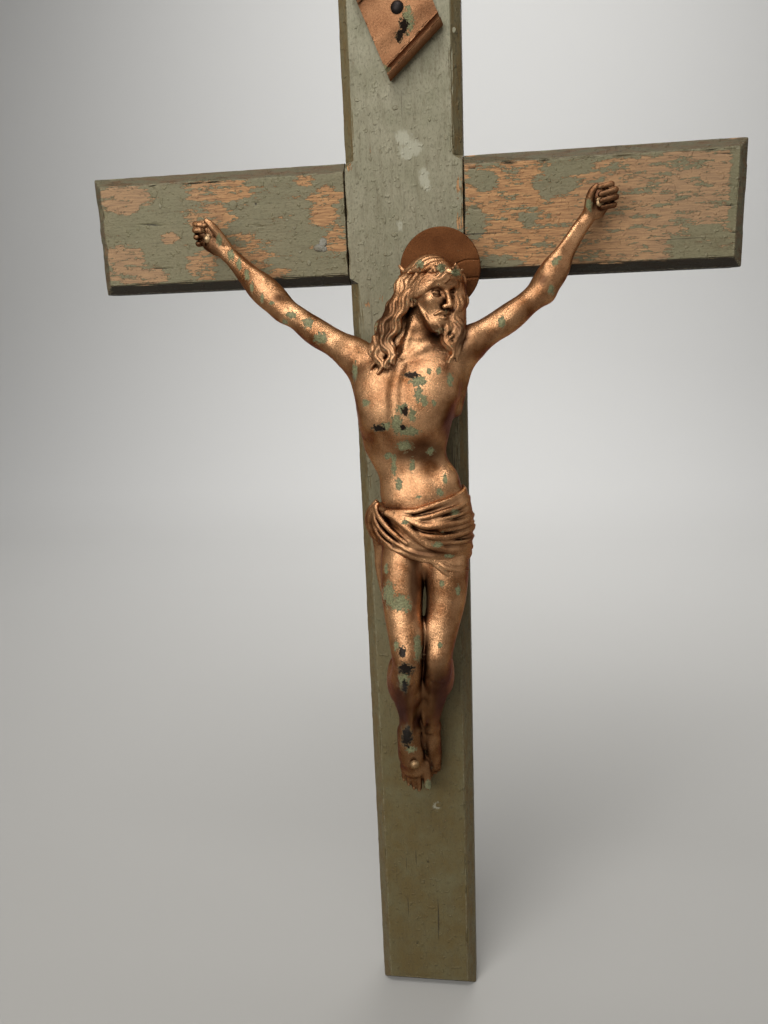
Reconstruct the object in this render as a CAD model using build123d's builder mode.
"""A wall crucifix: a chamfered wooden cross, a cast metal figure, a halo disc and a bare scroll.

Millimetres. X runs to the viewer's right, Y into the wall, Z up. The origin is the mouth of the hanging hole,
on the back face of the upright. Shares of the figure's height place everything on the figure.
"""
import os
from math import acos, cos, degrees, radians, sin

from build123d import *

os.makedirs("parts", exist_ok=True)

# Boards of the cross
cross_height = 610
cross_span = 317
board_width = 57
board_thickness = 19
crossbar_drop = 164        # from the top of the upright to the crossbar's middle line
chamfer_size = 4.8         # legs of the 45 degree chamfer on the front edges
chamfer_stop = 3           # length of the slanted stop where a chamfer dies out
stop_overlap = 3           # how far a stop runs into the crossing, beside the crossbar's edge
lap_gap = 0.5              # open joint between a crossbar shoulder and the upright
lap_clearance = 0.05       # between the two halved faces
overrun = 1                # how far a cut runs past the face it cuts

# Hanging hole, drilled into the back of the upright
hang_hole_drop = 40        # from the top of the upright
hang_hole_radius = 4
hang_hole_depth = 12

# Screws that hold the lap from behind
screw_radius = 1.75
screw_head_radius = 3.5
screw_length = 15
screw_tip = 2.5
screw_spacing = 30
screw_sink = 0.2           # the heads lie this far below the back face
fit_clearance = 0.1        # round every screw and nail

# Nails
hand_nail_head_radius = 2.2
hand_nail_dome = 1.5
hand_nail_radius = 1.1
feet_nail_head_radius = 2.7
feet_nail_dome = 2.2
feet_nail_radius = 1.3
scroll_nail_head_radius = 3.3
scroll_nail_dome = 2.0
scroll_nail_radius = 1.3
nail_bite = 11             # depth of a nail in the wood
nail_tip = 2.5

# Scroll: a skewed sheet that is rolled towards the viewer at its two short ends
scroll_length = 43.5
scroll_width = 33
scroll_sheet = 1.2
scroll_roll_radius = 3.7
scroll_roll_open = 110     # degrees of the roll that stay open
scroll_lean = 22.5         # degrees, long side from upright
scroll_end_rise = 41       # degrees, rolled end from level
scroll_rise = 92           # from the crossbar's middle line to the scroll's nail

# Halo
halo_radius = 19
halo_thickness = 1.2
halo_stub_radius = 2.5
halo_stub_length = 5
halo_seat_gap = 0.2        # between the disc and the hair in front of it

# Figure
figure_height = 280        # crown of the head to the toes, as it hangs
peg_radius = 2.6           # round peg of an arm in its shoulder socket
peg_length = 8
peg_clearance = 0.15
finger_radius = 1.35
thumb_radius = 1.6
toe_radius = 1.45
thorn_ring_radius = 1.9
fold_radius = 1.9

# Rows of shares: across, out from the board, up from the crossbar's middle line, half width, half depth
torso_shares = [
    (0.028, 0.097, -0.540, 0.050, 0.036),
    (0.027, 0.098, -0.505, 0.066, 0.046),
    (0.024, 0.098, -0.457, 0.073, 0.049),
    (0.012, 0.098, -0.411, 0.068, 0.046),
    (0.001, 0.102, -0.361, 0.076, 0.055),
    (0.010, 0.104, -0.300, 0.089, 0.062),
    (0.016, 0.100, -0.257, 0.084, 0.054),
    (0.020, 0.096, -0.221, 0.060, 0.038),
    (0.023, 0.098, -0.200, 0.032, 0.027),
    (0.034, 0.105, -0.165, 0.024, 0.025),
]
# Legs run on into the feet
right_leg_shares = [
    (-0.008, 0.108, -0.548, 0.034, 0.040),
    (-0.010, 0.118, -0.590, 0.038, 0.044),
    (-0.011, 0.139, -0.646, 0.036, 0.039),
    (-0.005, 0.161, -0.704, 0.030, 0.033),
    (-0.002, 0.173, -0.739, 0.026, 0.030),
    (-0.005, 0.164, -0.768, 0.027, 0.030),
    (-0.014, 0.132, -0.811, 0.030, 0.033),
    (-0.012, 0.104, -0.857, 0.024, 0.027),
    (-0.009, 0.080, -0.910, 0.018, 0.021),
    (-0.008, 0.074, -0.950, 0.023, 0.024),
    (-0.005, 0.067, -0.990, 0.028, 0.021),
    (0.000, 0.060, -1.027, 0.029, 0.016),
    (0.001, 0.053, -1.050, 0.027, 0.011),
]
left_leg_shares = [
    (0.065, 0.106, -0.548, 0.034, 0.040),
    (0.067, 0.113, -0.590, 0.038, 0.044),
    (0.066, 0.129, -0.646, 0.032, 0.038),
    (0.056, 0.150, -0.704, 0.027, 0.033),
    (0.051, 0.161, -0.739, 0.024, 0.029),
    (0.050, 0.150, -0.771, 0.026, 0.029),
    (0.046, 0.118, -0.811, 0.027, 0.032),
    (0.038, 0.089, -0.857, 0.021, 0.025),
    (0.031, 0.063, -0.912, 0.016, 0.020),
    (0.029, 0.050, -0.952, 0.020, 0.022),
    (0.022, 0.038, -0.995, 0.026, 0.019),
    (0.017, 0.028, -1.028, 0.026, 0.015),
    (0.015, 0.022, -1.046, 0.024, 0.010),
]
# Toes: across at the root, across at the tip, length; the big toe is nearest the other foot
right_toe_shares = [
    (-0.021, -0.024, 0.008),
    (-0.011, -0.013, 0.015),
    (-0.001, -0.002, 0.019),
    (0.009, 0.009, 0.021),
    (0.020, 0.021, 0.019),
]
left_toe_shares = [
    (0.034, 0.037, 0.008),
    (0.025, 0.027, 0.013),
    (0.015, 0.016, 0.016),
    (0.005, 0.005, 0.018),
    (-0.005, -0.006, 0.017),
]
toe_root_share = 0.014     # how far a toe reaches up into its foot
toe_lean_share = 0.004     # how far a toe's tip comes back towards the board

# Arms from the seam at the shoulder to the wrist; the first row is the face that meets the body
right_arm_shares = [
    (-0.085, 0.089, -0.222, 0.029, 0.029),
    (-0.103, 0.086, -0.210, 0.026, 0.026),
    (-0.144, 0.079, -0.184, 0.022, 0.022),
    (-0.184, 0.071, -0.156, 0.021, 0.020),
    (-0.218, 0.064, -0.127, 0.024, 0.023),
    (-0.246, 0.059, -0.106, 0.021, 0.020),
    (-0.271, 0.052, -0.080, 0.017, 0.016),
    (-0.294, 0.045, -0.055, 0.013, 0.012),
    (-0.319, 0.038, -0.032, 0.012, 0.011),
    (-0.336, 0.033, -0.019, 0.017, 0.011),
    (-0.349, 0.031, -0.008, 0.018, 0.011),
    (-0.357, 0.031, -0.001, 0.015, 0.010),
]
left_arm_shares = [
    (0.110, 0.089, -0.211, 0.029, 0.029),
    (0.128, 0.086, -0.199, 0.026, 0.026),
    (0.170, 0.079, -0.175, 0.023, 0.023),
    (0.207, 0.071, -0.148, 0.021, 0.020),
    (0.233, 0.064, -0.126, 0.023, 0.023),
    (0.249, 0.059, -0.106, 0.020, 0.020),
    (0.263, 0.053, -0.083, 0.016, 0.016),
    (0.274, 0.049, -0.064, 0.014, 0.014),
    (0.293, 0.041, -0.035, 0.012, 0.012),
    (0.308, 0.036, -0.013, 0.012, 0.011),
    (0.319, 0.032, 0.002, 0.017, 0.011),
    (0.327, 0.031, 0.013, 0.018, 0.011),
    (0.332, 0.031, 0.022, 0.015, 0.010),
]
right_palm_share = (-0.341, -0.015)
left_palm_share = (0.323, 0.007)
# Shoulders: from inside the chest to the seam
right_shoulder_shares = [
    (-0.020, 0.100, -0.266, 0.046, 0.040),
    (-0.058, 0.0935, -0.240, 0.037, 0.034),
    (-0.085, 0.089, -0.222, 0.029, 0.029),
]
left_shoulder_shares = [
    (0.048, 0.100, -0.262, 0.046, 0.040),
    (0.083, 0.0935, -0.229, 0.037, 0.034),
    (0.110, 0.089, -0.211, 0.029, 0.029),
]
# Fingers: along the hand, towards the thumb, out of the palm, at the knuckle, the bend and the tip
finger_shares = [
    ((0.008, -0.013, 0.000), (0.013, -0.013, 0.014), (0.003, -0.012, 0.022)),
    ((0.010, -0.004, 0.000), (0.017, -0.004, 0.016), (0.005, -0.004, 0.026)),
    ((0.010, 0.005, 0.000), (0.017, 0.005, 0.016), (0.006, 0.005, 0.026)),
    ((0.006, 0.0125, 0.001), (0.013, 0.0135, 0.014), (0.005, 0.013, 0.023)),
]
fingertip_share = 0.9      # a tip's radius beside its root's
thumb_shares = ((-0.016, 0.010, 0.004), (0.000, 0.022, 0.010), (0.016, 0.020, 0.015))

# Head: its middle, and its half sizes with the hair
head_share = (0.049, 0.110, -0.138)
head_half_width_share = 0.050
head_half_depth_share = 0.054
head_half_height_share = 0.064
head_tilt = 12             # degrees, crown towards the viewer's right
head_bow = 8               # degrees, crown forward
head_turn = 24             # degrees, face towards the viewer's right
# Locks, beard and nose in the head's own directions: right, forward, up, half width, half depth
right_lock_shares = [
    (-0.030, 0.004, 0.030, 0.020, 0.026),
    (-0.046, 0.006, -0.010, 0.017, 0.022),
    (-0.056, 0.012, -0.050, 0.015, 0.016),
    (-0.072, 0.014, -0.082, 0.008, 0.010),
]
left_lock_shares = [
    (0.030, 0.004, 0.030, 0.020, 0.026),
    (0.047, 0.004, -0.010, 0.017, 0.022),
    (0.035, 0.020, -0.050, 0.014, 0.014),
    (0.026, 0.038, -0.086, 0.009, 0.009),
]
beard_shares = [
    (0.000, 0.014, -0.026, 0.030, 0.030),
    (0.000, 0.022, -0.050, 0.024, 0.022),
    (0.000, 0.028, -0.070, 0.012, 0.012),
    (0.000, 0.029, -0.078, 0.005, 0.005),
]
nose_shares = [
    (0.000, 0.046, 0.012, 0.005, 0.005),
    (0.000, 0.053, -0.004, 0.006, 0.006),
    (0.000, 0.056, -0.014, 0.008, 0.006),
    (0.000, 0.050, -0.019, 0.006, 0.004),
]
halo_share = (0.063, 0, -0.085)
halo_stub_share = (0.052, 0, -0.125)
thorn_ring_up_share = 0.030
thorn_ring_out_share = 0.047

# Loincloth: the five shares of a row, then the slope of its level in degrees
cloth_shares = [
    (0.024, 0.098, -0.472, 0.078, 0.055),
    (0.027, 0.099, -0.508, 0.094, 0.067),
    (0.029, 0.101, -0.542, 0.092, 0.070),
    (0.029, 0.103, -0.572, 0.082, 0.064),
]
cloth_slopes = [14, 4, -4, -9]
# Folds of the cloth: three points on each, across, out and up
fold_shares = [
    ((-0.050, 0.108, -0.492), (0.036, 0.160, -0.480), (0.108, 0.104, -0.458)),
    ((-0.060, 0.110, -0.500), (0.034, 0.166, -0.510), (0.118, 0.108, -0.496)),
    ((-0.060, 0.110, -0.512), (0.030, 0.170, -0.540), (0.118, 0.110, -0.532)),
    ((-0.050, 0.118, -0.545), (0.030, 0.164, -0.570), (0.106, 0.116, -0.572)),
]
knot_shares = [
    (-0.050, 0.100, -0.478, 0.012, 0.016),
    (-0.060, 0.098, -0.500, 0.022, 0.026),
    (-0.058, 0.096, -0.530, 0.020, 0.024),
    (-0.056, 0.092, -0.552, 0.012, 0.014),
]
tail_shares = [
    (-0.056, 0.092, -0.540, 0.014, 0.012),
    (-0.062, 0.078, -0.590, 0.015, 0.009),
    (-0.066, 0.068, -0.640, 0.014, 0.007),
    (-0.070, 0.064, -0.680, 0.009, 0.005),
]
feet_nail_share = (-0.005, 0.092, -0.996)
palm_face_share = 0.044    # where a hand nail's head sits, out from the board

# Places worked out from the sizes
top_z = hang_hole_drop
bottom_z = top_z - cross_height
crossbar_z = top_z - crossbar_drop
front_y = -board_thickness
lap_y = -board_thickness / 2
half_width = board_width / 2
half_span = cross_span / 2
middle_z = (top_z + bottom_z) / 2
scroll_z = crossbar_z + scroll_rise
viewer = Vector(0, -1, 0)
wall = Vector(0, 1, 0)


def on_figure(across, out, up):
    """The point of the figure at these shares of its height."""
    return Vector(across * figure_height, front_y - out * figure_height, crossbar_z + up * figure_height)


def turned(right, forward, up):
    """A direction of the head, bowed, tilted and turned with it."""
    direction = Vector(right, -forward, up)
    direction = direction.rotate(Axis.X, head_bow)
    direction = direction.rotate(Axis.Z, head_turn)
    return direction.rotate(Axis.Y, head_tilt)


def on_head(right, forward, up):
    """The point of the head at these shares, in the head's own directions."""
    return on_figure(*head_share) + turned(right, forward, up) * figure_height


def skin(stations, x_dir):
    """Loft ellipses, square to the way, through stations of a point, a half width and a half depth."""
    last = len(stations) - 1
    sections = []
    for index, (point, width, depth) in enumerate(stations):
        before = stations[max(index - 1, 0)][0]
        after = stations[min(index + 1, last)][0]
        with BuildSketch(Plane(point, x_dir=x_dir, z_dir=after - before)) as section:
            Ellipse(width, depth)
        sections.append(section.sketch)
    loft(sections)


def body_skin(rows, x_dir=(1, 0, 0)):
    """Loft a limb of the figure from its rows of shares."""
    skin([(on_figure(*row[:3]), row[3] * figure_height, row[4] * figure_height) for row in rows], x_dir)


def head_skin(rows):
    """Loft a lock, beard or nose from its rows of shares."""
    side = turned(1, 0, 0)
    skin([(on_head(*row[:3]), row[3] * figure_height, row[4] * figure_height) for row in rows], side)


def capsule(start, end, radius):
    """A round stick with a ball at its far end."""
    way = end - start
    with BuildSketch(Plane(start, z_dir=way)) as section:
        Circle(radius)
    extrude(section.sketch, amount=way.length)
    with Locations(end):
        Sphere(radius)


def egg(middle, width, depth, height):
    """An ellipsoid in the head's own directions, from its three half sizes."""
    ball = Sphere(height, mode=Mode.PRIVATE)
    ball = scale(ball, by=(width / height, depth / height, 1), mode=Mode.PRIVATE)
    add(Plane(middle, x_dir=turned(1, 0, 0), z_dir=turned(0, 0, 1)).location * ball)


def stopped_chamfer(start, end, outward, stop_start, stop_end):
    """Cut a chamfer along the edge from start to end; a stop of zero leaves that end open."""
    along = (end - start).normalized()
    depth = chamfer_size * sin(radians(45))
    run = (end - start).length
    with BuildSketch(Plane(start, x_dir=along, z_dir=along.cross(outward))) as cutter:
        with BuildLine():
            Polyline(
                (stop_start, -depth),
                (run - stop_end, -depth),
                (run + overrun * (stop_end == 0), 0),
                (run + overrun * (stop_end == 0), depth),
                (-overrun * (stop_start == 0), depth),
                (-overrun * (stop_start == 0), 0),
                close=True,
            )
        make_face()
    extrude(cutter.sketch, amount=chamfer_size, both=True, mode=Mode.SUBTRACT)


def nail_body(seat, head_radius, dome, radius, length):
    """Revolve a dome-headed nail whose head sits at seat and whose point goes into the wall."""
    dome_radius = (head_radius**2 + dome**2) / (2 * dome)
    rim_angle = degrees(acos(head_radius / dome_radius))
    with BuildSketch(Plane(seat, x_dir=(1, 0, 0), z_dir=(0, 0, -1))) as section:
        with BuildLine():
            CenterArc((0, dome - dome_radius), dome_radius, start_angle=rim_angle, arc_size=90 - rim_angle)
            Polyline((0, dome), (0, -length), (radius, nail_tip - length), (radius, 0), (head_radius, 0))
        make_face()
    revolve(section.sketch, axis=Axis(seat, wall))


def nail_hole(place, radius, depth):
    """Cut a round hole of this depth into the wood or metal behind place."""
    with BuildSketch(Plane(place, z_dir=viewer)) as section:
        Circle(radius + fit_clearance)
    extrude(section.sketch, amount=-depth, mode=Mode.SUBTRACT)


def hand(palm, along, thumbward):
    """Fingers that half close towards the viewer, and the thumb beside them."""
    def spot(shares):
        """A point of the hand from its three shares."""
        forward, sideways, out = shares
        return palm + (along * forward + thumbward * sideways + viewer * out) * figure_height

    for knuckle, bend, tip in finger_shares:
        capsule(spot(knuckle), spot(bend), finger_radius)
        capsule(spot(bend), spot(tip), finger_radius * fingertip_share)
    root, bend, tip = [spot(shares) for shares in thumb_shares]
    capsule(root, bend, thumb_radius)
    capsule(bend, tip, thumb_radius * fingertip_share)


def arm_frame(rows):
    """The seam's middle and the way that the arm leaves the shoulder."""
    seam = on_figure(*rows[0][:3])
    way = (on_figure(*rows[1][:3]) - seam).normalized()
    return seam, way


# Places that two pieces share
right_nail_seat = on_figure(right_palm_share[0], palm_face_share, right_palm_share[1])
left_nail_seat = on_figure(left_palm_share[0], palm_face_share, left_palm_share[1])
feet_nail_seat = on_figure(*feet_nail_share)
hand_nail_length = palm_face_share * figure_height + nail_bite
feet_nail_length = feet_nail_share[1] * figure_height + nail_bite
scroll_nail_seat = Vector(0, front_y - scroll_sheet, scroll_z)
scroll_nail_length = scroll_sheet + nail_bite
screw_places = [(-screw_spacing / 2, crossbar_z), (screw_spacing / 2, crossbar_z)]
right_seam, right_way = arm_frame(right_arm_shares)
left_seam, left_way = arm_frame(left_arm_shares)
hair_back_y = on_figure(*head_share).Y + head_half_depth_share * figure_height
halo_front_y = hair_back_y + halo_seat_gap
halo_middle = on_figure(*halo_share)
halo_stub_place = on_figure(*halo_stub_share)

# Upright: halved at the back, chamfered in front, with stops beside the crossing
with BuildPart() as upright:
    with Locations((0, lap_y, middle_z)):
        Box(board_width, board_thickness, cross_height)
    with Locations((0, lap_y / 2, crossbar_z)):
        Box(board_width, board_thickness / 2, board_width, mode=Mode.SUBTRACT)
    lower_stop = crossbar_z - half_width + stop_overlap
    upper_stop = crossbar_z + half_width - stop_overlap
    for side in (-1, 1):
        edge_x = side * half_width
        corner = Vector(side, -1, 0)
        low_start = Vector(edge_x, front_y, bottom_z)
        low_end = Vector(edge_x, front_y, lower_stop)
        high_start = Vector(edge_x, front_y, upper_stop)
        high_end = Vector(edge_x, front_y, top_z)
        stopped_chamfer(low_start, low_end, corner.normalized(), 0, chamfer_stop)
        stopped_chamfer(high_start, high_end, corner.normalized(), chamfer_stop, 0)
    for end_z, way in ((bottom_z, -1), (top_z, 1)):
        end_corner = Vector(0, -1, way).normalized()
        end_start = Vector(-half_width, front_y, end_z)
        stopped_chamfer(end_start, Vector(half_width, front_y, end_z), end_corner, 0, 0)
    with Locations(Plane((0, 0, 0), z_dir=wall)):
        Hole(hang_hole_radius, depth=hang_hole_depth)
    for x, z in screw_places:
        with BuildSketch(Plane((x, lap_y, z), z_dir=viewer)):
            Circle(screw_radius + fit_clearance)
        extrude(amount=screw_length + screw_sink + lap_y + fit_clearance, mode=Mode.SUBTRACT)
    upright_nails = [(feet_nail_seat, feet_nail_radius), (scroll_nail_seat, scroll_nail_radius)]
    for seat, radius in upright_nails:
        nail_hole(Vector(seat.X, front_y, seat.Z), radius, nail_bite + fit_clearance)
upright.part.label = "upright"

# Crossbar: halved in front, so that its two shoulders stand beside the upright
with BuildPart() as crossbar:
    with Locations((0, lap_y, crossbar_z)):
        Box(cross_span, board_thickness, board_width)
    with Locations((0, (front_y + lap_y) / 2, crossbar_z)):
        notch_depth = board_thickness / 2 + 2 * lap_clearance
        Box(board_width + 2 * lap_gap, notch_depth, board_width, mode=Mode.SUBTRACT)
    for way in (-1, 1):
        edge_z = crossbar_z + way * half_width
        edge_start = Vector(-half_span, front_y, edge_z)
        stopped_chamfer(edge_start, Vector(half_span, front_y, edge_z), Vector(0, -1, way).normalized(), 0, 0)
        end_x = way * half_span
        end_start = Vector(end_x, front_y, crossbar_z - half_width)
        end_end = Vector(end_x, front_y, crossbar_z + half_width)
        stopped_chamfer(end_start, end_end, Vector(way, -1, 0).normalized(), 0, 0)
    for x, z in screw_places:
        with Locations(Plane((x, 0, z), z_dir=wall)):
            CounterSinkHole(
                screw_radius + fit_clearance,
                counter_sink_radius=screw_head_radius + screw_sink + fit_clearance,
                depth=board_thickness,
                counter_sink_angle=90,
            )
    for seat in (right_nail_seat, left_nail_seat):
        nail_hole(Vector(seat.X, front_y, seat.Z), hand_nail_radius, nail_bite + fit_clearance)
crossbar.part.label = "crossbar"

# Lap screws: two countersunk screws from behind
with BuildPart() as lap_screws:
    head_drop = screw_head_radius - screw_radius
    for x, z in screw_places:
        head_place = Vector(x, -screw_sink, z)
        with BuildSketch(Plane(head_place, x_dir=(1, 0, 0), z_dir=(0, 0, -1))):
            with BuildLine():
                Polyline(
                    (0, 0),
                    (screw_head_radius, 0),
                    (screw_radius, head_drop),
                    (screw_radius, screw_length - screw_tip),
                    (0, screw_length),
                    close=True,
                )
            make_face()
        revolve(axis=Axis(head_place, wall))
lap_screws.part.label = "lap_screws"

# Main casting of the figure
with BuildPart() as corpus_body:
    body_skin(torso_shares)
    body_skin(right_shoulder_shares, x_dir=(0, -1, 0))
    body_skin(left_shoulder_shares, x_dir=(0, -1, 0))
    for leg_shares, toe_shares in ((right_leg_shares, right_toe_shares), (left_leg_shares, left_toe_shares)):
        body_skin(leg_shares)
        root_out, root_up = leg_shares[-1][1:3]
        for root_across, tip_across, toe_length in toe_shares:
            root = on_figure(root_across, root_out, root_up + toe_root_share)
            tip = on_figure(tip_across, root_out - toe_lean_share, root_up - toe_length)
            capsule(root, tip, toe_radius)
    for row, slope in zip(cloth_shares, cloth_slopes):
        level = Plane(on_figure(*row[:3]), x_dir=(cos(radians(slope)), 0, sin(radians(slope))),
                      z_dir=(-sin(radians(slope)), 0, cos(radians(slope))))
        with BuildSketch(level):
            Ellipse(row[3] * figure_height, row[4] * figure_height)
    loft()
    body_skin(knot_shares)
    body_skin(tail_shares)
    for fold in fold_shares:
        with BuildLine():
            swag = ThreePointArc(*[on_figure(*shares) for shares in fold])
        with BuildSketch(Plane(swag @ 0, z_dir=swag % 0)):
            Circle(fold_radius)
        sweep(path=swag)
    egg(on_figure(*head_share), head_half_width_share * figure_height,
        head_half_depth_share * figure_height, head_half_height_share * figure_height)
    for head_shares in (right_lock_shares, left_lock_shares, beard_shares, nose_shares):
        head_skin(head_shares)
    with Locations(Plane(on_head(0, 0, thorn_ring_up_share), x_dir=turned(1, 0, 0), z_dir=turned(0, 0, 1))):
        Torus(thorn_ring_out_share * figure_height, thorn_ring_radius)
    for seam, way in ((right_seam, right_way), (left_seam, left_way)):
        with BuildSketch(Plane(seam, z_dir=way)):
            Circle(peg_radius + peg_clearance)
        extrude(amount=-(peg_length + peg_clearance), mode=Mode.SUBTRACT)
    with BuildSketch(Plane((halo_stub_place.X, halo_front_y, halo_stub_place.Z), z_dir=viewer)):
        Circle(halo_stub_radius + fit_clearance)
    extrude(amount=halo_stub_length + fit_clearance, mode=Mode.SUBTRACT)
    nail_hole(feet_nail_seat, feet_nail_radius, feet_nail_share[1] * figure_height)
corpus_body.part.label = "corpus_body"


def build_arm(rows, palm_seat, thumb_way):
    """An arm casting with its peg, its hand and the hole for its nail."""
    with BuildPart() as arm:
        body_skin(rows, x_dir=(0, -1, 0))
        seam, way = arm_frame(rows)
        with BuildSketch(Plane(seam, z_dir=way)):
            Circle(peg_radius)
        extrude(amount=-peg_length)
        along = (on_figure(*rows[-1][:3]) - on_figure(*rows[-3][:3])).normalized()
        hand(on_figure(*rows[-2][:3]), along, along.cross(viewer) * thumb_way)
        nail_hole(palm_seat, hand_nail_radius, palm_face_share * figure_height)
        nail_hole(palm_seat + viewer * hand_nail_dome, hand_nail_head_radius, hand_nail_dome)
    return arm.part


right_arm = build_arm(right_arm_shares, right_nail_seat, -1)
right_arm.label = "corpus_right_arm"
left_arm = build_arm(left_arm_shares, left_nail_seat, 1)
left_arm.label = "corpus_left_arm"

# Halo: a disc behind the head with a stub in the hair
with BuildPart() as halo:
    with BuildSketch(Plane((halo_middle.X, halo_front_y, halo_middle.Z), z_dir=wall)):
        Circle(halo_radius)
    extrude(amount=halo_thickness)
    with BuildSketch(Plane((halo_stub_place.X, halo_front_y, halo_stub_place.Z), z_dir=viewer)):
        Circle(halo_stub_radius)
    extrude(amount=halo_stub_length)
halo.part.label = "halo"

# Scroll: a flat sheet with a roll at each end, extruded along the rolled end
lean = radians(scroll_lean)
rise = radians(scroll_end_rise)
long_way = Vector(-sin(lean), 0, cos(lean))
end_way = Vector(cos(rise), 0, sin(rise))
roll_place = scroll_length / 2 - scroll_roll_radius
with BuildPart() as title_scroll:
    sheet_middle = Vector(0, front_y, scroll_z) - end_way * (scroll_width / 2)
    with BuildSketch(Plane(sheet_middle, x_dir=long_way, z_dir=long_way.cross(viewer))):
        with Locations((0, scroll_sheet / 2)):
            Rectangle(2 * roll_place, scroll_sheet)
        for way in (-1, 1):
            with Locations((way * roll_place, scroll_roll_radius)):
                Circle(scroll_roll_radius)
        for way in (-1, 1):
            roll_middle = (way * roll_place, scroll_roll_radius)
            with Locations(roll_middle):
                Circle(scroll_roll_radius - scroll_sheet, mode=Mode.SUBTRACT)
            reach = 2 * scroll_roll_radius
            open_x = -way * reach
            open_y = reach * sin(radians(scroll_roll_open - 90))
            with BuildLine():
                Polyline(
                    roll_middle,
                    (roll_middle[0] + open_x, scroll_sheet),
                    (roll_middle[0] + open_x, scroll_roll_radius + reach),
                    (roll_middle[0] + way * open_y, scroll_roll_radius + reach),
                    close=True,
                )
            make_face(mode=Mode.SUBTRACT)
    extrude(amount=scroll_width, dir=end_way)
    nail_hole(scroll_nail_seat, scroll_nail_radius, scroll_sheet + overrun)
title_scroll.part.label = "title_scroll"

# Nails
with BuildPart() as hand_nails:
    for seat in (right_nail_seat, left_nail_seat):
        nail_body(seat, hand_nail_head_radius, hand_nail_dome, hand_nail_radius, hand_nail_length)
hand_nails.part.label = "hand_nails"

with BuildPart() as feet_nail:
    nail_body(feet_nail_seat, feet_nail_head_radius, feet_nail_dome, feet_nail_radius, feet_nail_length)
feet_nail.part.label = "feet_nail"

with BuildPart() as scroll_nail:
    nail_body(
        scroll_nail_seat, scroll_nail_head_radius, scroll_nail_dome, scroll_nail_radius, scroll_nail_length
    )
scroll_nail.part.label = "scroll_nail"

export_step(upright.part, "parts/upright.step")
export_step(crossbar.part, "parts/crossbar.step")
export_step(lap_screws.part, "parts/lap_screws.step")
export_step(corpus_body.part, "parts/corpus_body.step")
export_step(right_arm, "parts/corpus_right_arm.step")
export_step(left_arm, "parts/corpus_left_arm.step")
export_step(halo.part, "parts/halo.step")
export_step(title_scroll.part, "parts/title_scroll.step")
export_step(hand_nails.part, "parts/hand_nails.step")
export_step(feet_nail.part, "parts/feet_nail.step")
export_step(scroll_nail.part, "parts/scroll_nail.step")
